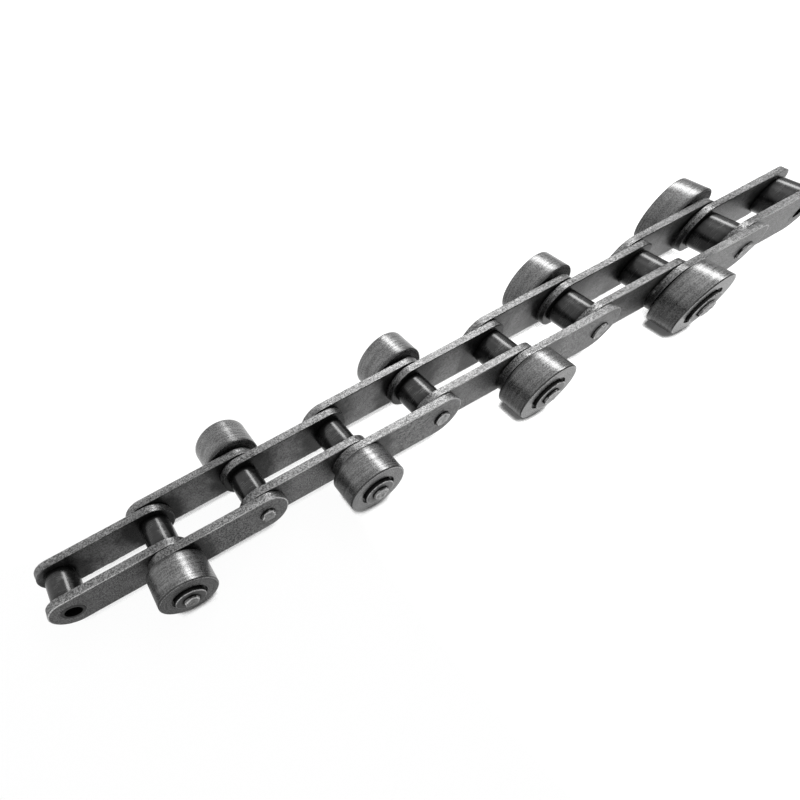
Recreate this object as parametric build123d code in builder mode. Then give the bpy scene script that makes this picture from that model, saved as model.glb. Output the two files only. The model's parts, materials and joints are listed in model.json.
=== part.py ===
from build123d import *
import os

# A length of double-pitch conveyor chain with staggered outboard rollers, in millimetres.
# Inner links (two plates pressed on two bushes) take turns with outer links (two plates
# riveted on two pins). A small roller turns on every bush, between the inner plates, and
# meets the sprocket teeth. Every pin is longer at one end and carries an outboard roller
# there, on the near side (-Y) and on the far side (+Y) by turns.
# The chain lies along X and stands on its outboard rollers at Z = 0. Joints are numbered
# from 1 at the -X end, and the origin is under the middle of the length.

# Links
pitch = 38.10
inner_link_count = 5
inner_width = 12.70  # between the two inner plates
plate_gap = 0.45  # running gap between an inner plate and an outer plate
inner_plate_height = 16.60
inner_plate_thickness = 3.20
outer_plate_height = 17.20
outer_plate_thickness = 3.20
plate_edge_break = 0.25  # chamfer round a plate's outline, on both faces

# Bushes and the small rollers on them
bush_diameter = 8.40
small_roller_diameter = 11.91
small_roller_edge_break = 0.45
small_roller_side_play = 0.12  # to the plate on each side

# Pins
pin_diameter = 5.96
tenon_diameter = 5.00  # the thinner end that goes through a washer
rivet_head_diameter = 6.40
rivet_head_height = 1.35
rivet_head_edge_break = 0.45

# Outboard rollers and their washers
outboard_diameter = 22.23
outboard_width = 12.10
outboard_edge_break = 0.70
outboard_plate_gap = 1.05  # between the barrel and the outer plate
hub_diameter = 11.00  # low boss that rubs on the outer plate
hub_plate_gap = 0.25
recess_diameter = 12.40  # turned into the outer face, for the washer
recess_depth = 0.80
washer_diameter = 11.30
washer_thickness = 1.80
washer_play = 0.30  # between the recess floor and the washer

# Radial running clearances
pin_in_bush = 0.03
bush_in_small_roller = 0.06
pin_in_outboard_roller = 0.04

# Derived sizes and places
joint_count = 2 * inner_link_count
pin_height = outboard_diameter / 2
bush_bore_radius = pin_diameter / 2 + pin_in_bush
inner_plate_face = inner_width / 2 + inner_plate_thickness
outer_plate_seat = inner_plate_face + plate_gap
outer_plate_face = outer_plate_seat + outer_plate_thickness
barrel_start = outer_plate_face + outboard_plate_gap
barrel_end = barrel_start + outboard_width
recess_floor = barrel_end - recess_depth
washer_seat = recess_floor + washer_play
washer_face = washer_seat + washer_thickness

NEAR = -1
FAR = 1
SIDE_NAMES = {NEAR: "near", FAR: "far"}


def joint_x(joint):
    """The place of a joint along the chain."""
    return (joint - (joint_count + 1) / 2) * pitch


def roller_side(joint):
    """The side that a joint's outboard roller is on."""
    return NEAR if joint % 2 == 0 else FAR


def turning_plane(joint, side=FAR):
    """The plane of a turned piece's half profile: x outwards along the pin, y away from its axis."""
    return Plane(origin=(joint_x(joint), 0, pin_height), x_dir=(0, side, 0), z_dir=(side, 0, 0))


def turning_axis(plane):
    """The pin's own axis, about which a half profile is turned."""
    return Axis(plane.origin, plane.x_dir)


def save(piece, name):
    piece.label = name
    export_step(piece, f"parts/{name}.step")


def side_plate(first_joint, side, seat, thickness, height, hole_diameter):
    """A straight-sided plate with round ends, punched for two joints, standing outwards from its seat."""
    middle = (joint_x(first_joint) + joint_x(first_joint + 1)) / 2
    face = Plane(origin=(middle, side * seat, pin_height), x_dir=(1, 0, 0), z_dir=(0, side, 0))
    with BuildPart() as plate:
        with BuildSketch(face):
            SlotCenterToCenter(pitch, height)
            with GridLocations(pitch, 0, 2, 1):
                Circle(hole_diameter / 2, mode=Mode.SUBTRACT)
        extrude(amount=thickness)
        outlines = [face.outer_wire() for face in plate.faces().filter_by(Axis.Y)]
        chamfer([edge for outline in outlines for edge in outline.edges()], length=plate_edge_break)
    return plate.part


def bush(joint):
    """A plain sleeve, pressed flush into both inner plates."""
    plane = turning_plane(joint)
    with BuildPart() as sleeve:
        with BuildSketch(Plane(origin=plane.origin, x_dir=(1, 0, 0), z_dir=plane.x_dir)):
            Circle(bush_diameter / 2)
            Circle(bush_bore_radius, mode=Mode.SUBTRACT)
        extrude(amount=inner_plate_face, both=True)
    return sleeve.part


def small_roller(joint):
    """A smooth roller with eased rims, free to turn on its bush."""
    plane = turning_plane(joint)
    with BuildPart() as roller:
        with BuildSketch(Plane(origin=plane.origin, x_dir=(1, 0, 0), z_dir=plane.x_dir)):
            Circle(small_roller_diameter / 2)
            Circle(bush_diameter / 2 + bush_in_small_roller, mode=Mode.SUBTRACT)
        extrude(amount=inner_width / 2 - small_roller_side_play, both=True)
        rims = roller.edges().filter_by(GeomType.CIRCLE).group_by(SortBy.RADIUS)[-1]
        chamfer(rims, length=small_roller_edge_break)
    return roller.part


def pin(joint):
    """A pin with a riveted head at each end, and a journal for the outboard roller at one of them."""
    plane = turning_plane(joint, roller_side(joint))
    pin_radius = pin_diameter / 2
    tenon_radius = tenon_diameter / 2
    head_radius = rivet_head_diameter / 2
    head_face = head_radius - rivet_head_edge_break
    short_end = -outer_plate_face - rivet_head_height
    long_end = washer_face + rivet_head_height
    with BuildPart() as body:
        with BuildSketch(plane):
            with BuildLine():
                Polyline(
                    (short_end, 0),
                    (short_end, head_face),
                    (short_end + rivet_head_edge_break, head_radius),
                    (-outer_plate_face, head_radius),
                    (-outer_plate_face, pin_radius),
                    (washer_seat, pin_radius),
                    (washer_seat, tenon_radius),
                    (washer_face, tenon_radius),
                    (washer_face, head_radius),
                    (long_end - rivet_head_edge_break, head_radius),
                    (long_end, head_face),
                    (long_end, 0),
                    close=True,
                )
            make_face()
        revolve(axis=turning_axis(plane))
    return body.part


def outboard_roller(joint):
    """A turned barrel: a low hub faces the outer plate, and a recess in the outer face takes the washer."""
    plane = turning_plane(joint, roller_side(joint))
    bore_radius = pin_diameter / 2 + pin_in_outboard_roller
    hub_start = outer_plate_face + hub_plate_gap
    tread_radius = outboard_diameter / 2
    rim_radius = tread_radius - outboard_edge_break
    with BuildPart() as roller:
        with BuildSketch(plane):
            with BuildLine():
                Polyline(
                    (hub_start, bore_radius),
                    (hub_start, hub_diameter / 2),
                    (barrel_start, hub_diameter / 2),
                    (barrel_start, rim_radius),
                    (barrel_start + outboard_edge_break, tread_radius),
                    (barrel_end - outboard_edge_break, tread_radius),
                    (barrel_end, rim_radius),
                    (barrel_end, recess_diameter / 2),
                    (recess_floor, recess_diameter / 2),
                    (recess_floor, bore_radius),
                    close=True,
                )
            make_face()
        revolve(axis=turning_axis(plane))
    return roller.part


def washer(joint):
    """A washer on a pin's tenon, held against its shoulder by the riveted head."""
    plane = turning_plane(joint, roller_side(joint))
    seat = plane.origin + plane.x_dir * washer_seat
    with BuildPart() as disc:
        with BuildSketch(Plane(origin=seat, x_dir=(1, 0, 0), z_dir=plane.x_dir)):
            Circle(washer_diameter / 2)
            Circle(tenon_diameter / 2, mode=Mode.SUBTRACT)
        extrude(amount=washer_thickness)
    return disc.part


os.makedirs("parts", exist_ok=True)

for link in range(1, inner_link_count + 1):
    first_joint = 2 * link - 1
    for side in (NEAR, FAR):
        plate = side_plate(
            first_joint, side, inner_width / 2, inner_plate_thickness, inner_plate_height, bush_diameter
        )
        save(plate, f"inner_plate_{SIDE_NAMES[side]}_{link}")

for link in range(1, inner_link_count):
    first_joint = 2 * link
    for side in (NEAR, FAR):
        plate = side_plate(
            first_joint, side, outer_plate_seat, outer_plate_thickness, outer_plate_height, pin_diameter
        )
        save(plate, f"outer_plate_{SIDE_NAMES[side]}_{link}")
    pair = Compound(children=[washer(first_joint), washer(first_joint + 1)])
    save(pair, f"washers_{link}")

for joint in range(1, joint_count + 1):
    save(bush(joint), f"bush_{joint}")
    save(small_roller(joint), f"small_roller_{joint}")

for joint in range(2, joint_count):
    save(pin(joint), f"pin_{joint}")
    save(outboard_roller(joint), f"outboard_roller_{joint}")
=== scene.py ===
import json
import math

import bmesh
import bpy
from bpy.props import FloatProperty, FloatVectorProperty, IntProperty, PointerProperty
from mathutils import Euler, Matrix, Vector, noise

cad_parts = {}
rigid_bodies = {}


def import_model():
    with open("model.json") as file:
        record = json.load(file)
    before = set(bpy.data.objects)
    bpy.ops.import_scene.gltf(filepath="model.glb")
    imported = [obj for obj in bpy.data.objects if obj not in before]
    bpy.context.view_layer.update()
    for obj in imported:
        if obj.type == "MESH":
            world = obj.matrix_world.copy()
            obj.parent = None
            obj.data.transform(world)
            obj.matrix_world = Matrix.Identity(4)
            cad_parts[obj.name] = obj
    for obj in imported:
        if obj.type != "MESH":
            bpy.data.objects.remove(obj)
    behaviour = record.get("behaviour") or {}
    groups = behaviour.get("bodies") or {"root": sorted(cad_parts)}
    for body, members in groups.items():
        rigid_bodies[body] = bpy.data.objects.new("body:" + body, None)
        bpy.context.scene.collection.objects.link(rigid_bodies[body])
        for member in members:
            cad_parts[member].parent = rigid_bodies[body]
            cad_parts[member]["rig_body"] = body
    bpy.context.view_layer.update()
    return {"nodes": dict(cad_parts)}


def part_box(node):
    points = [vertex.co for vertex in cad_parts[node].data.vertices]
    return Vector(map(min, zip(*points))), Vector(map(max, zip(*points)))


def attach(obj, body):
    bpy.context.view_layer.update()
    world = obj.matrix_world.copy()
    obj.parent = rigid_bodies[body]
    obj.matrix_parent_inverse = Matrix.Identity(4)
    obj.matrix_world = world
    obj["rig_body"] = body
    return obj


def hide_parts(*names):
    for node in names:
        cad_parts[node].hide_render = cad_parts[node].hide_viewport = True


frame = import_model()

bl_info = {
    "name": "Conveyor chain",
    "version": (1, 0, 0),
    "blender": (4, 5, 0),
    "location": "View3D > Sidebar > Chain",
    "description": "Double-pitch conveyor chain with staggered outboard rollers",
    "category": "Object",
}

MM = 0.001
ON_AXIS = 1e-4 * MM  # a point nearer to its axis than this lies on it
NEARLY_NOTHING = 1e-12  # square metres: keeps a radius that is divided by from being 0
JOINT_COUNT = sum(node.startswith("bush_") for node in frame["nodes"])
JOINTS = range(1, JOINT_COUNT + 1)
ROLLER_JOINTS = range(2, JOINT_COUNT)
LINKS = range(1, JOINT_COUNT // 2 + 1)
OUTER_LINKS = range(1, JOINT_COUNT // 2)
NEAR, FAR = -1, 1
SIDES = {"near": NEAR, "far": FAR}
FIRST_BUSH, LAST_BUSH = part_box("bush_1"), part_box(f"bush_{JOINT_COUNT}")
PIN_HEIGHT = (FIRST_BUSH[0].z + FIRST_BUSH[1].z) / 2
PITCH = (LAST_BUSH[0].x - FIRST_BUSH[0].x) / (JOINT_COUNT - 1)


def joint_x(joint):
    """The place of a joint along the chain."""
    low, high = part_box(f"bush_{joint}")
    return (low.x + high.x) / 2


def roller_side(joint):
    """The side that a joint's outboard roller is on."""
    return NEAR if joint % 2 == 0 else FAR


def body_of(node):
    """The name of the CAD body that a node rides on."""
    return frame["nodes"][node]["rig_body"]


def reach(node):
    """How far a node starts and ends from the chain's middle line, on its own side of it."""
    low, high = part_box(node)
    return sorted((abs(low.y), abs(high.y)))


def half_height(node):
    """Half of a node's height, which is its radius where it is round."""
    low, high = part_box(node)
    return (high.z - low.z) / 2


# ---------------------------------------------------------------- sizes and colours


def size(name, text, value):
    """A length that can be changed, in metres."""
    return FloatProperty(name=name, description=text, default=value, min=0, unit="LENGTH", precision=5)


def point(name, text, value):
    """A point, or a pair of sides, that can be changed, in metres."""
    return FloatVectorProperty(name=name, description=text, default=value, size=len(value), unit="LENGTH")


def share(name, text, value):
    """A number from 0 to 1 that can be changed."""
    return FloatProperty(name=name, description=text, default=value, min=0, max=1, subtype="FACTOR")


def level(name, text, value):
    """A strength of light that can be changed, where 1 is white."""
    return FloatProperty(name=name, description=text, default=value, min=0)


def power(name, text, value):
    """A lamp's power that can be changed."""
    return FloatProperty(name=name, description=text, default=value, min=0, unit="POWER")


def grey(name, text, value):
    """A colour that can be changed, given as its even level."""
    default = (value, value, value)
    return FloatVectorProperty(name=name, description=text, default=default, min=0, max=1, subtype="COLOR")


def count(name, text, value):
    """A whole number that can be changed."""
    return IntProperty(name=name, description=text, default=value, min=3)


class CHAIN_PG_plates(bpy.types.PropertyGroup):
    """The stamped side plates."""

    face: grey("Face", "Tumbled face of a side plate", 0.108)
    rubbed: grey("Rubbed", "Face where the next plate rubs round a joint", 0.18)
    sheared: grey("Sheared edge", "Bare metal of the punched edge", 0.35)
    torn: grey("Torn edge", "Dark grain in the punched edge", 0.07)
    # Part rubbed metal, part painted highlight along the rounded corner.
    bare: grey("Bare corner", "Rubbed bright corner of a punched edge", 0.62)
    # Painted shade: this dark is both real lubricant round a joint and shade falling between the parts there.
    oil: grey("Oil", "Oil that has crept out round a joint", 0.012)
    roll: size("Die roll", "How far the punched corner is rounded, along the face", 0.50 * MM)
    roll_depth: size("Die roll depth", "How deep that rounding goes", 0.26 * MM)
    break_edge: size("Edge break", "Small bevel on the burr side", 0.10 * MM)
    tear: size("Tear", "How rough the torn part of the edge is", 0.07 * MM)
    burr: size("Burr", "How far the few burrs stand out of the edge", 0.34 * MM)
    nick: size("Nick", "Depth of the deepest nicks in a corner", 0.16 * MM)
    hole_break: size("Hole break", "Bevel round a punched hole", 0.22 * MM)
    spacing: size("Spacing", "Distance between points along the outline", 0.40 * MM)
    roughness: share("Roughness", "Roughness of the face", 0.46)
    hole_segments: count("Hole segments", "Facets round a hole", 64)


class CHAIN_PG_small_rollers(bpy.types.PropertyGroup):
    """The small rollers, which meet the sprocket."""

    blued: grey("Blued steel", "Smooth blued steel of a small roller", 0.060)
    worn: grey("Worn", "Where the blueing has rubbed away", 0.13)
    edge: size("Rim round", "Round on a small roller's rims", 0.45 * MM)
    bore: size("Bore radius", "Radius of a small roller's bore", 4.26 * MM)
    roughness: share("Roughness", "Roughness of the blued steel", 0.20)
    segments: count("Segments", "Facets round a small roller", 96)


class CHAIN_PG_pins(bpy.types.PropertyGroup):
    """The pins, their formed heads and the bushes round them."""

    steel: grey("Steel", "Formed steel of a pin's head", 0.26)
    # Part rubbed metal, part painted glint.
    bright: grey("Bright corner", "Rubbed corner of a formed head", 0.55)
    # Painted shade on a head's flank; the swirl marks take this dark too.
    flank: grey("Flank", "Dark flank of a formed head", 0.022)
    bush: grey("Bush", "Dark steel of a bush", 0.075)
    shank: size("Shank radius", "Radius of a pin", 2.98 * MM)
    tenon: size("Tenon radius", "Radius of the end that goes through a washer", 2.50 * MM)
    head: size("Head radius", "Radius of a formed head", 3.12 * MM)
    head_height: size("Head height", "Height of a formed head", 1.35 * MM)
    edge: size("Head round", "Round on a formed head", 0.50 * MM)
    dimple: size("Dimple radius", "Radius of the dimple that the forming tool leaves", 1.15 * MM)
    dimple_depth: size("Dimple depth", "Depth of that dimple", 0.22 * MM)
    upset: size("Upset", "How uneven a formed head is", 0.60 * MM)
    segments: count("Segments", "Facets round a pin", 72)


class CHAIN_PG_outboard_rollers(bpy.types.PropertyGroup):
    """The outboard rollers and their washers."""

    tread: grey("Tread", "Turned steel of a roller's tread", 0.188)
    # Painted shade: the faced end is painted darker than the tread, partly its own finish and partly shade.
    end_face: grey("End face", "Faced steel of a roller's end", 0.130)
    # Part rubbed metal, part painted highlight on a rounded rim; the washers' corners take it too.
    rim: grey("Rim", "Rubbed bright rim of a roller", 0.48)
    # Also the painted shade where a roller's rim meets its tread.
    groove: grey("Groove", "Oil and dirt in the turning marks", 0.020)
    washer: grey("Washer", "Steel of a washer", 0.105)
    edge: size("Rim round", "Round on a roller's rims", 0.62 * MM)
    hub: size("Hub radius", "Radius of the low hub that rubs on the plate", 5.50 * MM)
    hub_gap: size("Hub height", "How far the hub stands out of the barrel", 0.80 * MM)
    recess: size("Recess radius", "Radius of the recess for the washer", 6.55 * MM)
    recess_depth: size("Recess depth", "Depth of the recess for the washer", 0.80 * MM)
    bore: size("Bore radius", "Radius of a roller's bore", 3.02 * MM)
    washer_bore: size("Washer bore radius", "Radius of a washer's bore", 2.50 * MM)
    washer_thickness: size("Washer thickness", "Thickness of a washer", 1.80 * MM)
    washer_edge: size("Washer round", "Round on a washer's outer edge", 0.35 * MM)
    mark: size("Mark pitch", "Distance between turning marks", 0.22 * MM)
    roughness: share("Roughness", "Roughness of the tread", 0.31)
    segments: count("Segments", "Facets round an outboard roller", 160)
    washer_segments: count("Washer segments", "Facets round a washer", 96)


class CHAIN_PG_stage(bpy.types.PropertyGroup):
    """The floor, the light and the camera."""

    floor: grey("Floor", "Pale matt floor", 0.80)
    # Painted shadow: the floor's colour right where a piece touches it.
    trodden: grey("Trodden", "Floor right under a piece that touches it", 0.22)
    shade: share("Shade", "How much of the open floor takes the lamps' light and their shadow", 0.04)
    contact_shade: share("Contact shade", "The same, right where the chain touches the floor", 0.95)
    contact: size("Contact", "How near the floor a piece darkens it", 3.5 * MM)
    ceiling: level("Ceiling", "Light from straight above", 0.80)
    above_free: level("Above, free end", "Light from above the horizon on the free end's side", 0.62)
    above_far: level("Above, far end", "Light from above the horizon on the far end's side", 0.36)
    below_free: level("Below, free end", "Light from below the horizon on the free end's side", 0.30)
    below_far: level("Below, far end", "Light from below the horizon on the far end's side", 1.35)
    pale: level("Pale side", "Light from beyond the chain and from its near, free corner", 1.15)
    key: power("Key lamp", "Power of the key lamp", 9.0)
    key_sides: point("Key lamp's sides", "Sides of the key lamp", (1.00, 0.30))
    key_place: point("Key lamp's place", "Where the key lamp stands", (0.72, 0.38, 0.90))
    fill: power("Fill lamp", "Power of the fill lamp", 1.2)
    fill_sides: point("Fill lamp's sides", "Sides of the fill lamp", (0.80, 0.80))
    fill_place: point("Fill lamp's place", "Where the fill lamp stands", (-0.10, 0.10, 1.25))
    lens: FloatProperty(
        name="Lens", description="The camera's focal length", default=17.719, min=1, unit="CAMERA"
    )
    shift: FloatVectorProperty(
        name="Shift", description="The camera's lens shift, across and up", default=(0.1675, 0.19375), size=2
    )
    eye: point("Camera", "Where the camera stands", (-0.11646, -0.08200, 0.13536))
    aim: FloatVectorProperty(
        name="Aim",
        description="How the camera is turned",
        default=(0.409331, 0.126751, -0.509587),
        subtype="EULER",
    )


class CHAIN_PG_settings(bpy.types.PropertyGroup):
    """All the sizes and colours of the chain."""

    plates: PointerProperty(type=CHAIN_PG_plates)
    small_rollers: PointerProperty(type=CHAIN_PG_small_rollers)
    pins: PointerProperty(type=CHAIN_PG_pins)
    outboard_rollers: PointerProperty(type=CHAIN_PG_outboard_rollers)
    stage: PointerProperty(type=CHAIN_PG_stage)


# ---------------------------------------------------------------- shader maths


def both_ways(operation):
    """A Python operator and its reflection, made with a Math node."""

    def plain(self, other):
        return self.maths(operation, self, other)

    def reflected(self, other):
        return self.maths(operation, other, self)

    return plain, reflected


class Wire:
    """A node's output, so that shader maths is written as plain expressions."""

    __add__, __radd__ = both_ways("ADD")
    __sub__, __rsub__ = both_ways("SUBTRACT")
    __mul__, __rmul__ = both_ways("MULTIPLY")
    __truediv__, __rtruediv__ = both_ways("DIVIDE")

    def __init__(self, nodes, node, output=0):
        self.nodes, self.node = nodes, node
        self.socket = node.outputs[output] if node.outputs else None

    def out(self, name):
        """Another output of the same node."""
        return Wire(self.nodes, self.node, name)

    def maths(self, operation, *given):
        return self.nodes.node("ShaderNodeMath", {"operation": operation}, dict(enumerate(given)))

    def __abs__(self):
        return self.maths("ABSOLUTE", self)

    def root(self):
        return self.maths("SQRT", self)

    def fraction(self):
        return self.maths("FRACT", self)

    def most(self, other):
        return self.maths("MAXIMUM", self, other)

    def least(self, other):
        return self.maths("MINIMUM", self, other)


class Nodes:
    """A node tree, and the one way that nodes are added to it."""

    def __init__(self, tree):
        self.tree = tree
        tree.nodes.clear()

    def node(self, kind, settings=None, sockets=None):
        """A new node: its settings first, then the values or links of its sockets."""
        made = self.tree.nodes.new(kind)
        for name, setting in (settings or {}).items():
            setattr(made, name, setting)
        for key, given in (sockets or {}).items():
            by_identifier = {socket.identifier: socket for socket in made.inputs}
            socket = by_identifier[key] if key in by_identifier else made.inputs[key]
            if isinstance(given, Wire):
                self.tree.links.new(given.socket, socket)
            else:
                socket.default_value = given
        return Wire(self, made)

    def step(self, value, low, high):
        """0 below low and 1 above high, with a smooth rise between. High may be the lower one."""
        settings = {"interpolation_type": "SMOOTHSTEP"}
        return self.node("ShaderNodeMapRange", settings, {"Value": value, "From Min": low, "From Max": high})

    def span(self, value, low, high):
        """A value from 0 to 1, spread from low to high."""
        return self.node("ShaderNodeMapRange", {}, {"Value": value, "To Min": low, "To Max": high})

    def colour(self, factor, first, second):
        """One colour turning into another as the factor goes from 0 to 1."""
        sockets = {"Factor_Float": factor, "A_Color": first, "B_Color": second}
        mixed = self.node("ShaderNodeMix", {"data_type": "RGBA"}, sockets)
        return Wire(self, mixed.node, 2)

    def vector(self, x, y, z):
        return self.node("ShaderNodeCombineXYZ", {}, {"X": x, "Y": y, "Z": z})

    def grain(self, where, scale, detail=3.0, roughness=0.55):
        """Noise with so many lumps to the metre, from about 0.3 to 0.7."""
        sockets = {"Vector": where, "Scale": scale, "Detail": detail, "Roughness": roughness}
        return self.node("ShaderNodeTexNoise", {}, sockets)

    def bump(self, height, distance, strength):
        return self.node("ShaderNodeBump", {}, {"Height": height, "Distance": distance, "Strength": strength})

    def attribute(self, name):
        """A mark that the mesh carries at each point."""
        return self.node("ShaderNodeAttribute", {"attribute_name": name}).out("Fac")


class Finish(Nodes):
    """A material and its nodes."""

    def __init__(self, name):
        self.material = bpy.data.materials.new(name)
        self.material.use_nodes = True
        super().__init__(self.material.node_tree)

    def surface(self, **sockets):
        """The shader and the output, with sockets named as on the shader but with _ for a space."""
        named = {name.replace("_", " "): given for name, given in sockets.items()}
        shader = self.node("ShaderNodeBsdfPrincipled", {}, named)
        self.node("ShaderNodeOutputMaterial", {}, {"Surface": shader})
        return self.material


class Place:
    """Where a point of the chain is: along it, across it, and about its nearest joint."""

    def __init__(self, finish):
        self.point = finish.node("ShaderNodeTexCoord").out("Object")
        parts = finish.node("ShaderNodeSeparateXYZ", {}, {"Vector": self.point})
        self.x, self.y, self.z = parts.out("X"), parts.out("Y"), parts.out("Z")
        # The joints lie half a pitch, and whole pitches more, from the middle.
        self.ahead = ((self.x / PITCH).fraction() - 0.5) * PITCH
        self.above = self.z - PIN_HEIGHT
        self.radius = (self.ahead * self.ahead + self.above * self.above + NEARLY_NOTHING).root()


def rgb(colour, factor=1.0):
    """A colour with its alpha, darker or lighter by a factor."""
    return (*[channel * factor for channel in colour], 1.0)


def black(value):
    """An even black, for dirt and lubricant, and for painted shade in corners and hollows."""
    return (value, value, value, 1.0)


# ---------------------------------------------------------------- finishes


def plate_steel(sizes):
    """Tumbled dark steel with a bright, speckled punched edge, rub rings, faces inside the chain painted
    paler as painted light, corners painted bright as part wear and part highlight, and lubricant with painted
    shade round the joints.
    """
    finish = Finish("plate_steel")
    place = Place(finish)
    sheared = finish.attribute("sheared")
    torn = finish.attribute("torn")
    corner = finish.attribute("corner")
    grime = finish.attribute("grime")
    sand = finish.grain(place.point, scale=2300.0, detail=2.0, roughness=0.7)
    dust = finish.grain(place.point, scale=1150.0, detail=3.0, roughness=0.6)
    cloud = finish.grain(place.point, scale=190.0, detail=4.0, roughness=0.62)
    along_plate = finish.vector(place.x * 120.0, place.y * 900.0, place.z * 1500.0)
    rolled = finish.grain(along_plate, scale=1.0)
    round_joint = finish.vector(place.radius * 3200.0, place.y * 400.0, place.ahead * 60.0)
    ring = finish.grain(round_joint, scale=1.0, detail=2.0)

    # The face: specks of light and dark, painted light that makes the faces inside the chain paler, and
    # rubbed rings under the next plate.
    speck = finish.step(sand, 0.45, 0.55) * 0.65 + finish.step(dust, 0.41, 0.59) * 0.35
    mottle = speck * 0.80 + finish.step(cloud, 0.34, 0.66) * 0.12 + finish.step(rolled, 0.35, 0.65) * 0.08
    mottle = mottle + finish.attribute("inside") * 0.24
    face = finish.colour(mottle, rgb(sizes.face, 0.15), rgb(sizes.face, 2.25))
    rubbed = finish.step(place.radius, 8.6 * MM, 7.4 * MM) * (1.0 - sheared)
    face = finish.colour(rubbed * finish.step(ring, 0.44, 0.6) * 0.45, face, rgb(sizes.rubbed))

    # The punched edge: sheared and torn specks, with clouds of the face's own colour, and rubbed corners
    # painted bright, part wear and part painted highlight.
    edge = finish.colour(speck, rgb(sizes.torn), rgb(sizes.sheared))
    edge = finish.colour(finish.step(cloud, 0.40, 0.68) * 0.35, edge, rgb(sizes.face))
    painted = finish.colour(sheared, face, edge)
    painted = finish.colour(corner * finish.step(sand, 0.36, 0.50) * 0.75, painted, rgb(sizes.bare))

    # Oil creeps out round a joint, and the same mark is painted shade between the parts there. The upper part
    # of the edge takes a third of it, the lower part all, a painted shade that darkens the edge towards its
    # bottom.
    spread = place.radius + (cloud - 0.5) * 14.0 * MM - grime * 8.0 * MM
    crept_lube_and_shade = finish.step(spread, 10.0 * MM, -1.0 * MM) * grime.least(1.0)
    sunk = finish.step(place.above, 6.5 * MM, -2.0 * MM)
    lube_and_shade_share = crept_lube_and_shade * (0.92 - sheared * (0.62 - sunk * 0.62))
    painted = finish.colour(lube_and_shade_share, painted, rgb(sizes.oil))
    height = sand * finish.span(torn, 0.5, 1.0) + dust * 0.3 + ring * rubbed * 0.2
    return finish.surface(
        Base_Color=painted,
        Metallic=0.85,
        Roughness=sizes.roughness + (sand - 0.5) * 0.4 + sheared * 0.01 - crept_lube_and_shade * 0.14,
        Normal=finish.bump(height, 0.08 * MM, 0.75),
    )


def turned(finish, place, mark):
    """Fine marks that run round a joint's axis, nearly but not quite even."""
    turn = place.ahead / place.radius
    lift = place.above / place.radius
    where = finish.vector(place.radius / mark, place.y / mark, turn * 0.9 + lift * 0.6)
    return finish.grain(where, scale=1.0, detail=2.0, roughness=0.5)


def turned_steel(sizes):
    """Turned steel with fine marks round it, faced ends painted darker partly as shade, a worn rim painted
    with a highlight and with shade where it meets the tread, and painted shade in the recess.
    """
    finish = Finish("turned_steel")
    place = Place(finish)
    tread = finish.attribute("tread")
    rim = finish.attribute("rim")
    fine = turned(finish, place, sizes.mark)
    coarse = turned(finish, place, sizes.mark * 2.6)
    cloud = finish.grain(place.point, scale=240.0, detail=4.0, roughness=0.6)
    sand = finish.grain(place.point, scale=2500.0, detail=1.0, roughness=0.6)
    worn = finish.step(cloud, 0.36, 0.66) * 0.24 + finish.step(sand, 0.45, 0.55) * 0.54
    worn = worn + finish.step(coarse, 0.38, 0.60) * 0.22
    body = finish.colour(worn, rgb(sizes.tread, 0.52), rgb(sizes.tread, 1.42))
    # The ends are painted darker than the tread, partly as painted shade.
    ends = finish.colour(worn, rgb(sizes.end_face, 0.40), rgb(sizes.end_face, 1.75))
    painted = finish.colour(tread, ends, body)
    lined = finish.step(coarse, 0.52, 0.40) * finish.step(cloud, 0.40, 0.60)
    dirty = lined * 0.26 + finish.step(fine, 0.48, 0.34) * 0.16
    painted = finish.colour(dirty, painted, rgb(sizes.groove))

    # The rim is painted bright on the end face's side, part rubbed metal and part painted highlight, and
    # painted dark where it meets the tread, a painted shade.
    outer = finish.step(place.radius, 10.72 * MM, 10.86 * MM)
    painted = finish.colour(rim * (1 - outer) * finish.step(sand, 0.38, 0.52) * 0.60, painted, rgb(sizes.rim))
    painted = finish.colour(rim * outer * 0.70, painted, rgb(sizes.groove))
    # Painted shade: the recess for the washer is painted almost black.
    recess = finish.step(place.radius, 6.75 * MM, 6.45 * MM) * (1.0 - tread)
    painted = finish.colour(recess * 0.9, painted, black(0.008))
    return finish.surface(
        Base_Color=painted,
        Metallic=0.95,
        Roughness=sizes.roughness + (fine - 0.5) * 0.22 + (sand - 0.5) * 0.30,
        Normal=finish.bump(fine * 0.4 + coarse * 0.8 + sand * 0.4, 0.024 * MM, 0.7),
    )


def blued_steel(sizes):
    """Smooth blued steel, rubbed brighter in clouds, and darker towards the plates with lubricant and painted
    shade.
    """
    finish = Finish("blued_steel")
    place = Place(finish)
    fine = turned(finish, place, 0.30 * MM)
    cloud = finish.grain(place.point, scale=320.0, detail=4.0, roughness=0.6)
    speckle = finish.grain(place.point, scale=2200.0, detail=3.0, roughness=0.6)
    rubbed = finish.step(cloud * 0.6 + fine * 0.4, 0.48, 0.66)
    painted = finish.colour(rubbed * 0.6, rgb(sizes.blued), rgb(sizes.worn))
    painted = finish.colour(finish.step(speckle, 0.42, 0.32) * 0.6, painted, black(0.008))
    # Lubricant and painted shade: the roller is painted dark towards its ends, next to the plates.
    ends_lube_and_shade = finish.step(abs(place.y) + (cloud - 0.5) * 3.0 * MM, 2.6 * MM, 6.2 * MM)
    painted = finish.colour(ends_lube_and_shade * 0.80, painted, black(0.010))
    return finish.surface(
        Base_Color=painted,
        Metallic=0.9,
        Roughness=sizes.roughness + rubbed * 0.12 + (speckle - 0.5) * 0.16,
        Normal=finish.bump(fine * 0.5 + speckle * 0.3, 0.012 * MM, 0.5),
    )


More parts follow.
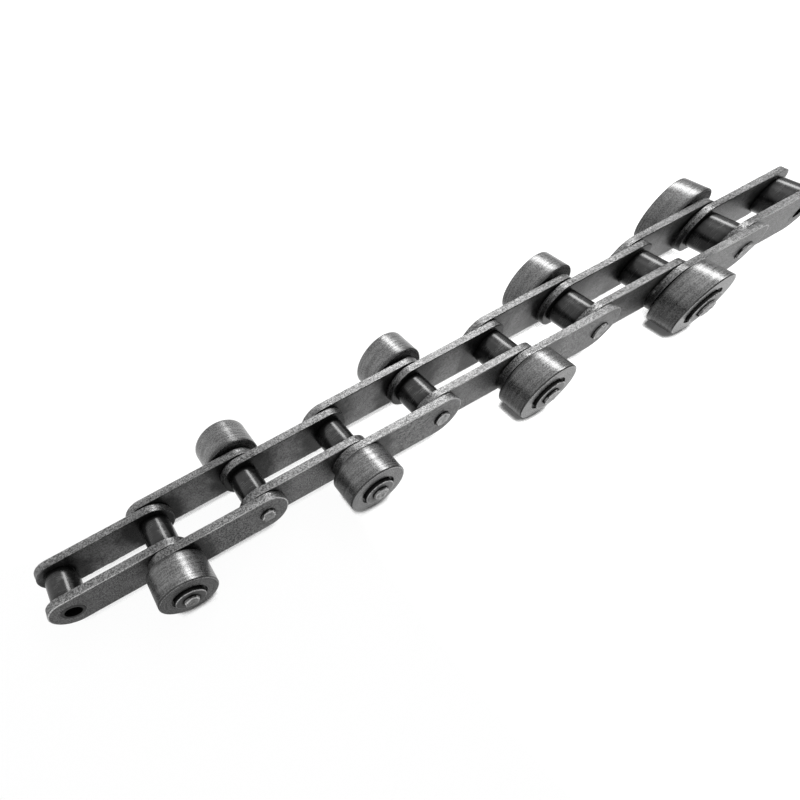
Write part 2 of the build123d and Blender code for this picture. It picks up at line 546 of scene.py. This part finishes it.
def pin_steel(sizes):
    """Formed heads with swirl marks, a bright worn corner that is partly a painted glint, and flanks painted
    dark as shade.
    """
    finish = Finish("pin_steel")
    place = Place(finish)
    rim = finish.attribute("rim")
    fine = turned(finish, place, 0.16 * MM)
    cloud = finish.grain(place.point, scale=800.0, detail=4.0, roughness=0.6)
    sand = finish.grain(place.point, scale=2600.0, detail=2.0, roughness=0.65)
    mixed = finish.step(cloud, 0.36, 0.66) * 0.6 + finish.step(sand, 0.4, 0.6) * 0.4
    painted = finish.colour(mixed, rgb(sizes.steel, 0.5), rgb(sizes.steel, 1.25))
    painted = finish.colour(finish.step(fine, 0.46, 0.34) * 0.4, painted, rgb(sizes.flank))
    # The corner of the head is painted bright, part wear and part painted glint.
    painted = finish.colour(rim * finish.step(sand, 0.36, 0.5) * 0.8, painted, rgb(sizes.bright))
    # Painted shade: the flank of the head is painted dark.
    flank = finish.step(place.radius, 2.75 * MM, 3.0 * MM) * (1.0 - rim)
    painted = finish.colour(flank * 0.92, painted, rgb(sizes.flank))
    return finish.surface(
        Base_Color=painted,
        Metallic=0.9,
        Roughness=0.36 + (sand - 0.5) * 0.4,
        Normal=finish.bump(fine * 0.6 + sand * 0.6, 0.035 * MM, 0.6),
    )


def washer_steel(sizes):
    """Punched washer: a dark face, painted shade on its flank and round the pin's head, and a rubbed outer
    corner that is partly a painted highlight.
    """
    finish = Finish("washer_steel")
    place = Place(finish)
    rim = finish.attribute("rim")
    sand = finish.grain(place.point, scale=2400.0, detail=2.0, roughness=0.65)
    cloud = finish.grain(place.point, scale=500.0, detail=3.0, roughness=0.6)
    mixed = finish.step(cloud, 0.36, 0.66) * 0.5 + finish.step(sand, 0.4, 0.6) * 0.5
    painted = finish.colour(mixed, rgb(sizes.washer, 0.55), rgb(sizes.washer, 1.35))
    # The outer corner is painted bright, part wear and part painted highlight.
    painted = finish.colour(rim * finish.step(sand, 0.36, 0.5) * 0.8, painted, rgb(sizes.rim))
    # Painted shade on the washer's flank and round the pin's head.
    flank = finish.step(place.radius, 5.50 * MM, 5.62 * MM) * (1.0 - rim)
    round_head = finish.step(place.radius, 4.1 * MM, 3.2 * MM)
    painted = finish.colour(round_head.most(flank) * 0.85, painted, black(0.010))
    return finish.surface(
        Base_Color=painted,
        Metallic=0.9,
        Roughness=0.38 + (sand - 0.5) * 0.35,
        Normal=finish.bump(sand, 0.02 * MM, 0.5),
    )


def bush_steel(sizes):
    """Dark ground steel of the bushes, with painted shade in the bore."""
    finish = Finish("bush_steel")
    place = Place(finish)
    fine = turned(finish, place, 0.20 * MM)
    speckle = finish.grain(place.point, scale=2400.0, detail=3.0, roughness=0.65)
    painted = finish.colour(finish.step(fine, 0.36, 0.62), rgb(sizes.bush, 0.55), rgb(sizes.bush))
    # Painted shade: the bore is painted almost black.
    bore = finish.step(place.radius, 3.25 * MM, 3.05 * MM)
    painted = finish.colour(bore * 0.9, painted, black(0.006))
    return finish.surface(
        Base_Color=painted,
        Metallic=0.85,
        Roughness=0.38 + (speckle - 0.5) * 0.3,
        Normal=finish.bump(fine * 0.6 + speckle * 0.4, 0.02 * MM, 0.5),
    )


# ---------------------------------------------------------------- mesh work


def piece_from(mesh, name, finish, slot, *nodes):
    """A finished piece: it replaces its CAD nodes and rides on their body."""
    bmesh.ops.recalc_face_normals(mesh, faces=mesh.faces)
    data = bpy.data.meshes.new(name)
    mesh.to_mesh(data)
    mesh.free()
    data.materials.append(finish)
    data.shade_smooth()
    piece = bpy.data.objects.new(name, data)
    bpy.context.scene.collection.objects.link(piece)
    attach(piece, body_of(nodes[0]))
    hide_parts(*nodes)
    return piece


def dress(node, finish):
    """Gives a CAD node that stays its finish."""
    slots = frame["nodes"][node].material_slots
    if not slots:
        raise RuntimeError(f"{node} has no material slot")
    for slot in slots:
        slot.material = finish


def bridge(mesh, first, second):
    """Faces between two rings of points, one of which may be a single point on the axis."""
    sides = max(len(first), len(second))
    for k in range(sides):
        m = (k + 1) % sides
        near_edge = [first[k % len(first)], first[m % len(first)]]
        far_edge = [second[m % len(second)], second[k % len(second)]]
        mesh.faces.new(dict.fromkeys(near_edge + far_edge))


def bridge_all(mesh, rings, closed=False):
    """Faces between each ring and the next, and from the last to the first if closed."""
    following = rings[1:] + rings[:1] if closed else rings[1:]
    for first, second in zip(rings, following):
        bridge(mesh, first, second)


def eased(corners, steps):
    """A profile with its corners rounded. A corner is (along, out, round)."""
    points = []
    last = len(corners) - 1
    for i, (along, out, ease) in enumerate(corners):
        here = Vector((along, out))
        if ease <= 0 or i in (0, last):
            points.append(here)
            continue
        before = Vector(corners[i - 1][:2]) - here
        after = Vector(corners[i + 1][:2]) - here
        longest = 0.49  # of the run to the next corner, so that two rounds never meet
        start = here + before.normalized() * min(ease, before.length * longest)
        end = here + after.normalized() * min(ease, after.length * longest)
        for k in range(steps + 1):
            t = k / steps
            points.append(start * (1 - t) ** 2 + here * 2 * t * (1 - t) + end * t * t)
    return points


def split(points, longest):
    """The same profile with no run longer than the given length."""
    result = [points[0]]
    for start, end in zip(points, points[1:]):
        parts = max(1, math.ceil((end - start).length / longest))
        result += [start.lerp(end, k / parts) for k in range(1, parts + 1)]
    return result


def ring_profile(corners, steps, longest):
    """The rounded profile of a piece with a bore. Its seam lies midway from its last corner to its first."""
    (along, out, _), (last_along, last_out, _) = corners[0], corners[-1]
    seam = ((along + last_along) / 2, (out + last_out) / 2, 0)
    return split(eased([seam, *corners, seam], steps), longest)[:-1]


def turn(mesh, profile, x, side, segments, closed=False, shape=None, marks=None):
    """Turns a profile of (along, out) about a joint. Shape moves a point, and marks gives its attributes."""
    marks = marks or {}
    floats = mesh.verts.layers.float
    layers = {name: floats.get(name) or floats.new(name) for name in marks}
    rings = []
    for along, out in profile:
        ring = []
        for k in range(1 if out < ON_AXIS else segments):
            angle = math.tau * k / segments
            a, r = shape(along, out, angle) if shape else (along, out)
            ring.append(mesh.verts.new((x + r * math.sin(angle), side * a, PIN_HEIGHT + r * math.cos(angle))))
            for name, read in marks.items():
                ring[-1][layers[name]] = read(along, out)
        rings.append(ring)
    bridge_all(mesh, rings, closed)


# ---------------------------------------------------------------- side plates


class Plate:
    """One side plate's sizes, read from its CAD node."""

    def __init__(self, node):
        low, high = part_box(node)
        self.outwards = FAR if low.y > 0 else NEAR
        self.seat, outer_face = reach(node)
        self.thickness = outer_face - self.seat
        self.radius = half_height(node)
        self.first_x, self.second_x = low.x + self.radius, high.x - self.radius

    def point(self, x, z, deep):
        """A point of the plate, so deep below its outer face."""
        return (x, self.outwards * (self.seat + self.thickness - deep), z)

    def outline(self, spacing):
        """Points round the outline with the way outwards at each: (x, z, out x, out z)."""
        straight = max(2, round((self.second_x - self.first_x) / spacing))
        bend = max(8, round(math.pi * self.radius / spacing))
        points = []
        for start, end, up in ((self.first_x, self.second_x, 1), (self.second_x, self.first_x, -1)):
            for k in range(straight):
                points.append((start + (end - start) * k / straight, up * self.radius, 0.0, up))
            for k in range(bend):
                a = math.pi * k / bend + (0 if up > 0 else math.pi)
                out_x, out_z = math.sin(a), math.cos(a)
                points.append((end + self.radius * out_x, self.radius * out_z, out_x, out_z))
        return points


def edge_rows(thickness, sizes):
    """A plate's edge, from its outer face to its inner one: (depth, inset, sheared, torn)."""
    roll, bevel = sizes.roll, sizes.break_edge
    torn_inset = sizes.tear * 0.5
    roll_steps = 5
    rows = [(0.0, roll * 1.9, 0.0, 0.0), (0.0, roll * 1.05, 0.0, 0.0)]
    for k in range(1, roll_steps + 1):
        a = math.pi / 2 * k / roll_steps
        rows.append((sizes.roll_depth * (1 - math.cos(a)), roll * (1 - math.sin(a)), min(1.0, k / 4), 0.0))
    rows += [(thickness * part, 0.0, 1.0, 0.0) for part in (0.16, 0.28, 0.38)]
    rows += [(thickness * part, sizes.tear * 0.45, 1.0, 1.0) for part in (0.45, 0.55, 0.65, 0.75, 0.85)]
    rows += [
        (thickness - bevel, torn_inset, 1.0, 1.0),
        (thickness - bevel * 0.3, torn_inset + bevel * 0.3, 0.8, 0.5),
        (thickness, torn_inset + bevel, 0.3, 0.0),
        (thickness, roll * 1.6, 0.0, 0.0),
    ]
    return rows


def peak(x, z, scale, offset, threshold, height):
    """A lump in the outline here and there: 0 almost everywhere, and about 1 at the highest."""
    return max(0.0, noise.noise(Vector((x, z, 0)) * scale + Vector(offset)) - threshold) / height


def edge_inset(at, row, plate, sizes, seed, ragged):
    """How far inside its outline a plate's edge lies at one point, with its wear."""
    x, z, out_x, out_z = at
    deep, inset, sheared, torn = row
    spot = Vector((x, z, deep)) * (1 / MM)
    rough = noise.noise(spot * 2.6 + Vector((seed * 7.1, 0, 0)))
    wave = noise.noise(spot * 0.35 + Vector((0, seed * 3.7, 0)))
    inset_here = inset + sheared * (0.02 * MM + abs(wave) * 0.03 * MM)
    inset_here += torn * sizes.tear * (0.5 + 0.5 * rough)
    # Burrs stand out of the torn part, round the ends and along the lower side.
    if deep > plate.thickness * 0.7 and inset < sizes.break_edge * 1.5:
        lump = peak(x, z, 420, (seed * 2.9, 4.0, 0), 0.22, 0.4)
        inset_here -= lump * sizes.burr * max(ragged * abs(out_x), -out_z * 0.8)
    # Nicks are knocked into the corners, next to either face.
    if 0 < deep < plate.thickness * 0.2 or deep > plate.thickness - sizes.break_edge * 1.5:
        nick = peak(x, z, 900, (0, 0, seed * 5.3), 0.42, 0.5)
        inset_here += nick * sizes.nick * sheared
    return max(inset_here, -sizes.burr)


def punched_hole(mesh, plate, centre, radius, sizes):
    """A hole's wall, bevelled at both faces. Gives the ring round it on the outer and on the inner face."""
    bevel = sizes.hole_break
    half = [(0.0, bevel * 2), (0.0, bevel), (bevel * 0.35, bevel * 0.3), (bevel, 0.0)]
    rings = []
    for deep, wider in half + [(plate.thickness - deep, wider) for deep, wider in reversed(half)]:
        ring = []
        for k in range(sizes.hole_segments):
            a = math.tau * k / sizes.hole_segments
            r = radius + wider
            spot = plate.point(centre + r * math.sin(a), PIN_HEIGHT + r * math.cos(a), deep)
            ring.append(mesh.verts.new(spot))
        rings.append(ring)
    bridge_all(mesh, rings)
    return rings[0], rings[-1]


def fill_face(mesh, loops):
    """The flat face between a plate's outline and its holes."""
    edges = []
    for loop in loops:
        edges += [mesh.edges.get((vert, loop[(k + 1) % len(loop)])) for k, vert in enumerate(loop)]
    bmesh.ops.triangle_fill(mesh, edges=edges, use_beauty=True)


def spread_lube_and_shade(mesh, plate, layers, grime):
    """Marks the inner side, and lets the lubricant and painted shade run smoothly from one joint's level to
    the other's.
    """
    middle_x = (plate.first_x + plate.second_x) / 2
    middle_y = plate.seat + plate.thickness / 2
    run, cuts = 10.0 * MM, 10  # half of the run, and how many strips it is cut into
    for k in range(cuts + 1):
        cut = (middle_x + run * (2 * k / cuts - 1), 0, 0)
        parts = [*mesh.verts, *mesh.edges, *mesh.faces]
        bmesh.ops.bisect_plane(mesh, geom=parts, plane_co=cut, plane_no=(1, 0, 0))
    for vert in mesh.verts:
        inside = abs(vert.co.y) < middle_y
        share_of_second = min(1.0, max(0.0, (vert.co.x - middle_x) / run / 2 + 0.5))
        first, second = grime[0][inside], grime[1][inside]
        vert[layers["inside"]] = float(inside)
        vert[layers["grime"]] = first + (second - first) * share_of_second


def plate_mesh(node, sizes, hole_radius, seed, grime, ragged):
    """A punched side plate: die roll outside, bright shear, rough torn band, and a small bevel inside."""
    plate = Plate(node)
    outline = plate.outline(sizes.spacing)
    mesh = bmesh.new()
    floats = mesh.verts.layers.float
    layers = {name: floats.new(name) for name in ("sheared", "torn", "corner", "grime", "inside")}
    rings = []
    for row in edge_rows(plate.thickness, sizes):
        deep, inset, sheared, torn = row
        corner = 0 < inset < sizes.roll * 0.8 and deep < sizes.roll_depth
        ring = []
        for at in outline:
            x, z, out_x, out_z = at
            back = edge_inset(at, row, plate, sizes, seed, ragged)
            spot = plate.point(x - out_x * back, PIN_HEIGHT + z - out_z * back, deep)
            ring.append(mesh.verts.new(spot))
            ring[-1][layers["sheared"]] = sheared
            ring[-1][layers["torn"]] = torn
            ring[-1][layers["corner"]] = float(corner)
        rings.append(ring)
    bridge_all(mesh, rings)
    holes = [punched_hole(mesh, plate, x, hole_radius, sizes) for x in (plate.first_x, plate.second_x)]
    fill_face(mesh, [rings[0], *[outer for outer, inner in holes]])
    fill_face(mesh, [rings[-1], *[inner for outer, inner in holes]])
    spread_lube_and_shade(mesh, plate, layers, grime)
    return mesh


# ---------------------------------------------------------------- pieces


def settings():
    """The chain's sizes and colours."""
    return bpy.context.scene.conveyor_chain


class CHAIN_OT_side_plates(bpy.types.Operator):
    """Punched side plates of the inner and outer links."""

    bl_idname = "chain.side_plates"
    bl_label = "Side plates"

    def grime(self, kind, side, joint):
        """How much lubricant and painted shade a plate takes at a joint, on its outer and its inner face."""
        # Painted shade: the inner faces take much of it, where shade falls between the parts, and the outer
        # face most next to an outboard roller on its own side.
        if kind == "inner":
            return (0.15, 0.9) if joint in (JOINTS[0], JOINTS[-1]) else (0.8, 1.2)
        return (2.0, 1.3) if roller_side(joint) == side else (0.35, 1.1)

    def execute(self, context):
        sizes = settings().plates
        finish = plate_steel(sizes)
        plates = [("inner", side, link) for side in SIDES for link in LINKS]
        plates += [("outer", side, link) for side in SIDES for link in OUTER_LINKS]
        hole_radius = {"inner": half_height("bush_1"), "outer": settings().pins.shank}
        ragged = {"inner": 0.0, "outer": 1.0}
        for seed, (kind, side, link) in enumerate(plates, start=1):
            node = f"{kind}_plate_{side}_{link}"
            first = 2 * link - 1 if kind == "inner" else 2 * link
            grime = [self.grime(kind, SIDES[side], joint) for joint in (first, first + 1)]
            mesh = plate_mesh(node, sizes, hole_radius[kind], seed, grime, ragged[kind])
            piece_from(mesh, f"punched_{node}", finish, "side_plate_steel", node)
        return {"FINISHED"}


class CHAIN_OT_bushes(bpy.types.Operator):
    """Bushes, which are pressed flush into the inner plates."""

    bl_idname = "chain.bushes"
    bl_label = "Bushes"

    def execute(self, context):
        finish = bush_steel(settings().pins)
        for joint in JOINTS:
            dress(f"bush_{joint}", finish)
        return {"FINISHED"}


class CHAIN_OT_small_rollers(bpy.types.Operator):
    """Small rollers with rounded rims, one on each bush."""

    bl_idname = "chain.small_rollers"
    bl_label = "Small rollers"

    def execute(self, context):
        sizes = settings().small_rollers
        finish = blued_steel(sizes)
        for joint in JOINTS:
            node = f"small_roller_{joint}"
            low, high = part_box(node)
            radius, bore = half_height(node), sizes.bore
            corners = [
                (low.y, radius, sizes.edge),
                (high.y, radius, sizes.edge),
                (high.y, bore, sizes.edge * 0.6),
                (low.y, bore, sizes.edge * 0.6),
            ]
            mesh = bmesh.new()
            profile = ring_profile(corners, 5, 1.6 * MM)
            turn(mesh, profile, joint_x(joint), FAR, sizes.segments, closed=True)
            piece_from(mesh, f"smooth_{node}", finish, "small_roller_steel", node)
        return {"FINISHED"}


class CHAIN_OT_pins(bpy.types.Operator):
    """Pins with a formed head at each end."""

    bl_idname = "chain.pins"
    bl_label = "Pins"

    def profile(self, sizes, short_end, long_end, shoulder):
        """Half of a pin, from its short end to its long one, with the tenon beyond its shoulder."""
        head, sink = sizes.head, sizes.dimple_depth
        formed_end = [
            (sink, 0, 0),
            (sink * 0.8, sizes.dimple * 0.6, 0),
            (0, sizes.dimple, 0.2 * MM),
            (0.06 * MM, head - sizes.edge * 0.9, 0.3 * MM),
            (sizes.edge, head, sizes.edge),
            (sizes.head_height, head, 0),
        ]
        corners = [(short_end + deep, out, ease) for deep, out, ease in formed_end]
        corners += [
            (short_end + sizes.head_height, sizes.shank, 0),
            (shoulder, sizes.shank, 0),
            (shoulder, sizes.tenon, 0),
            (long_end - sizes.head_height, sizes.tenon, 0),
        ]
        corners += [(long_end - deep, out, ease) for deep, out, ease in reversed(formed_end)]
        return split(eased(corners, 4), 3.0 * MM)

    def execute(self, context):
        sizes = settings().pins
        finish = pin_steel(sizes)
        for joint in ROLLER_JOINTS:
            node = f"pin_{joint}"
            short, long_end = reach(node)
            short_end = -short
            shoulder = reach(f"washers_{joint // 2}")[1] - settings().outboard_rollers.washer_thickness

            def from_end(along):
                return min(abs(along - short_end), abs(along - long_end))

            def formed(along, out, angle):
                """The uneven outline and the dented face that the forming tool leaves."""
                deep = from_end(along)
                if deep > sizes.head_height * 0.98 or out < 0.3 * MM:
                    return along, out
                spot = Vector((math.sin(angle), math.cos(angle), joint * 3.1 + (along > 0))) * 1.3
                uneven = 1.7 * noise.noise(spot) + 0.6 * noise.noise(spot * 2.6)
                inwards = sizes.upset * min(1.0, max(0.0, 0.45 + uneven)) * (out / sizes.head)
                spot = Vector((out * math.sin(angle), out * math.cos(angle), 0)) * 650
                spot += Vector((0, 0, joint * 1.7))
                dented = deep < sizes.edge * 0.5
                sunk = sizes.dimple_depth * max(0.0, 0.4 + noise.noise(spot)) * dented
                return along - math.copysign(sunk, along), out - inwards

            def on_rim(along, out):
                on_corner = 0.03 * MM < from_end(along) < sizes.edge
                return 1.0 if on_corner and out > sizes.head - sizes.edge else 0.0

            mesh = bmesh.new()
            profile = self.profile(sizes, short_end, long_end, shoulder)
            x, side = joint_x(joint), roller_side(joint)
            turn(mesh, profile, x, side, sizes.segments, shape=formed, marks={"rim": on_rim})
            piece_from(mesh, f"riveted_{node}", finish, "pin_steel", node)
        return {"FINISHED"}


class CHAIN_OT_outboard_rollers(bpy.types.Operator):
    """Turned outboard rollers, on the near and the far side by turns."""

    bl_idname = "chain.outboard_rollers"
    bl_label = "Outboard rollers"

    def execute(self, context):
        sizes = settings().outboard_rollers
        finish = turned_steel(sizes)
        for joint in ROLLER_JOINTS:
            node = f"outboard_roller_{joint}"
            radius = half_height(node)
            hub_start, barrel_end = reach(node)
            barrel_start = hub_start + sizes.hub_gap
            floor = barrel_end - sizes.recess_depth
            corners = [
                (hub_start, sizes.hub, 0.25 * MM),
                (barrel_start, sizes.hub, 0.25 * MM),
                (barrel_start, radius, sizes.edge),
                (barrel_end, radius, sizes.edge),
                (barrel_end, sizes.recess, 0.16 * MM),
                (floor, sizes.recess, 0.3 * MM),
                (floor, sizes.bore, 0.2 * MM),
                (hub_start, sizes.bore, 0.2 * MM),
            ]

            def on_tread(along, out):
                return 1.0 if out > radius - sizes.edge * 0.5 else 0.0

            def on_rim(along, out):
                from_face = min(abs(along - barrel_start), abs(along - barrel_end))
                return 1.0 if from_face < sizes.edge and out > radius - sizes.edge else 0.0

            mesh = bmesh.new()
            profile = ring_profile(corners, 6, 1.2 * MM)
            marks = {"tread": on_tread, "rim": on_rim}
            turn(mesh, profile, joint_x(joint), roller_side(joint), sizes.segments, closed=True, marks=marks)
            piece_from(mesh, f"turned_{node}", finish, "outboard_roller_steel", node)
        return {"FINISHED"}


class CHAIN_OT_washers(bpy.types.Operator):
    """Punched washers between the outboard rollers and the formed heads."""

    bl_idname = "chain.washers"
    bl_label = "Washers"

    def execute(self, context):
        sizes = settings().outboard_rollers
        finish = washer_steel(sizes)
        bore, ease = sizes.washer_bore, sizes.washer_edge
        for link in OUTER_LINKS:
            node = f"washers_{link}"
            radius = half_height(node)
            face = reach(node)[1]
            seat = face - sizes.washer_thickness
            corners = [
                (seat, radius, ease * 0.4),
                (face, radius, ease),
                (face, bore, ease * 0.5),
                (seat, bore, ease * 0.4),
            ]

            def on_rim(along, out):
                return 1.0 if out > radius - ease * 0.9 and face - ease * 0.8 < along < face else 0.0

            mesh = bmesh.new()
            profile = ring_profile(corners, 5, 0.9 * MM)
            marks = {"rim": on_rim}
            for joint in (2 * link, 2 * link + 1):
                x, side = joint_x(joint), roller_side(joint)
                turn(mesh, profile, x, side, sizes.washer_segments, closed=True, marks=marks)
            piece_from(mesh, f"punched_{node}", finish, "pin_steel", node)
        return {"FINISHED"}


class CHAIN_OT_stage(bpy.types.Operator):
    """Pale floor, soft studio light and the camera."""

    bl_idname = "chain.stage"
    bl_label = "Stage"

    def execute(self, context):
        sizes = settings().stage
        scene = context.scene
        scene.view_settings.view_transform = "Standard"
        self.floor(sizes, scene)
        self.surroundings(sizes, scene)
        self.lamp("key_lamp", sizes.key, sizes.key_sides, sizes.key_place, scene)
        self.lamp("fill_lamp", sizes.fill, sizes.fill_sides, sizes.fill_place, scene)
        self.camera(sizes, scene)
        return {"FINISHED"}

    def floor(self, sizes, scene):
        """A wide floor. The pale surroundings show through it, the matt share of it takes the shadow, and its
        colour is a painted contact shadow right under a piece.
        """
        mesh = bmesh.new()
        bmesh.ops.create_grid(mesh, x_segments=2, y_segments=2, size=12.0)
        data = bpy.data.meshes.new("floor")
        mesh.to_mesh(data)
        mesh.free()
        finish = Finish("floor_paint")
        path = finish.node("ShaderNodeLightPath")
        seen = path.out("Is Camera Ray").most(path.out("Is Glossy Ray")).most(path.out("Is Transmission Ray"))
        # The floor turns dark and matt where a piece hides most of what is right over it, and its colour is
        # painted darker there, a painted contact shadow.
        near = finish.node("ShaderNodeAmbientOcclusion", {"samples": 8}, {"Distance": sizes.contact})
        touch = finish.step(near.out("AO"), 0.74, 0.52)
        clear = seen * (1 - finish.span(touch, sizes.shade, sizes.contact_shade))
        clear = clear.most(path.out("Is Shadow Ray"))
        paint = finish.colour(touch, rgb(sizes.floor), rgb(sizes.trodden))
        matt = finish.node("ShaderNodeBsdfDiffuse", {}, {"Color": paint})
        through = finish.node("ShaderNodeBsdfTransparent")
        both = finish.node("ShaderNodeMixShader", {}, {0: clear, 1: matt, 2: through})
        finish.node("ShaderNodeOutputMaterial", {}, {"Surface": both})
        data.materials.append(finish.material)
        floor = bpy.data.objects.new("floor", data)
        scene.collection.objects.link(floor)

    def surroundings(self, sizes, scene):
        """A world that is white to the eye. Its light differs between the free end (-X) and the far end."""
        world = bpy.data.worlds.new("studio")
        scene.world = world
        world.use_nodes = True
        nodes = Nodes(world.node_tree)
        way = nodes.node("ShaderNodeTexCoord").out("Generated")
        parts = nodes.node("ShaderNodeSeparateXYZ", {}, {"Vector": way})
        along, across, up = parts.out("X"), parts.out("Y"), parts.out("Z")
        above = nodes.span(nodes.step(along, -0.60, 0.85), sizes.above_free, sizes.above_far)
        below = nodes.span(nodes.step(along, -0.35, 0.75), sizes.below_free, sizes.below_far)
        wall = nodes.span(nodes.step(up, -0.12, 0.12), below, above)
        corner = nodes.step(along + across, -0.85, -1.20)
        beyond = nodes.step(across, 0.36, 0.66)
        wall = nodes.span(corner.most(beyond), wall, sizes.pale)
        rise = nodes.step(up, 0.22, 0.72)
        light = wall * (1 - rise) + rise * sizes.ceiling
        light = light.most(nodes.node("ShaderNodeLightPath").out("Is Camera Ray"))
        glow = nodes.node("ShaderNodeBackground", {}, {"Color": (1.0, 1.0, 1.0, 1.0), "Strength": light})
        nodes.node("ShaderNodeOutputWorld", {}, {"Surface": glow})

    def lamp(self, name, watts, sides, stand, scene):
        """A soft lamp aimed at the middle of the chain."""
        data = bpy.data.lights.new(name, "AREA")
        data.shape = "RECTANGLE"
        data.size, data.size_y = sides
        data.energy = watts
        lamp = bpy.data.objects.new(name, data)
        lamp.location = stand
        aim = Vector((0, 0, PIN_HEIGHT)) - Vector(stand)
        lamp.rotation_euler = aim.to_track_quat("-Z", "Y").to_euler()
        scene.collection.objects.link(lamp)

    def camera(self, sizes, scene):
        """The camera, turned and shifted for the framing."""
        data = bpy.data.cameras.new("camera")
        data.lens = sizes.lens
        data.shift_x, data.shift_y = sizes.shift
        data.clip_start, data.clip_end = 5.0 * MM, 50.0
        camera = bpy.data.objects.new("camera", data)
        camera.location = sizes.eye
        camera.rotation_euler = Euler(sizes.aim)
        scene.collection.objects.link(camera)
        scene.camera = camera


OPERATORS = [
    CHAIN_OT_stage,
    CHAIN_OT_side_plates,
    CHAIN_OT_bushes,
    CHAIN_OT_small_rollers,
    CHAIN_OT_pins,
    CHAIN_OT_outboard_rollers,
    CHAIN_OT_washers,
]
GROUPS = [
    CHAIN_PG_plates,
    CHAIN_PG_small_rollers,
    CHAIN_PG_pins,
    CHAIN_PG_outboard_rollers,
    CHAIN_PG_stage,
    CHAIN_PG_settings,
]


def own_properties(group):
    """The names of a group's own properties."""
    names = [entry.identifier for entry in group.bl_rna.properties]
    return [name for name in names if name not in ("rna_type", "name")]


class CHAIN_PT_panel(bpy.types.Panel):
    """The chain's operators, sizes and colours."""

    bl_idname = "CHAIN_PT_panel"
    bl_label = "Conveyor chain"
    bl_space_type = "VIEW_3D"
    bl_region_type = "UI"
    bl_category = "Chain"

    def draw(self, context):
        for operator in OPERATORS:
            self.layout.operator(operator.bl_idname)
        chain = context.scene.conveyor_chain
        for part in own_properties(chain):
            box = self.layout.box()
            box.label(text=part.replace("_", " ").capitalize())
            sizes = getattr(chain, part)
            for name in own_properties(sizes):
                box.prop(sizes, name)


def register():
    for kind in [*GROUPS, *OPERATORS, CHAIN_PT_panel]:
        bpy.utils.register_class(kind)
    bpy.types.Scene.conveyor_chain = PointerProperty(type=CHAIN_PG_settings)


def unregister():
    del bpy.types.Scene.conveyor_chain
    for kind in reversed([*GROUPS, *OPERATORS, CHAIN_PT_panel]):
        bpy.utils.unregister_class(kind)


def main():
    """Builds the whole scene."""
    register()
    for operator in OPERATORS:
        family, name = operator.bl_idname.split(".")
        getattr(getattr(bpy.ops, family), name)()


if __name__ == "__main__":
    main()
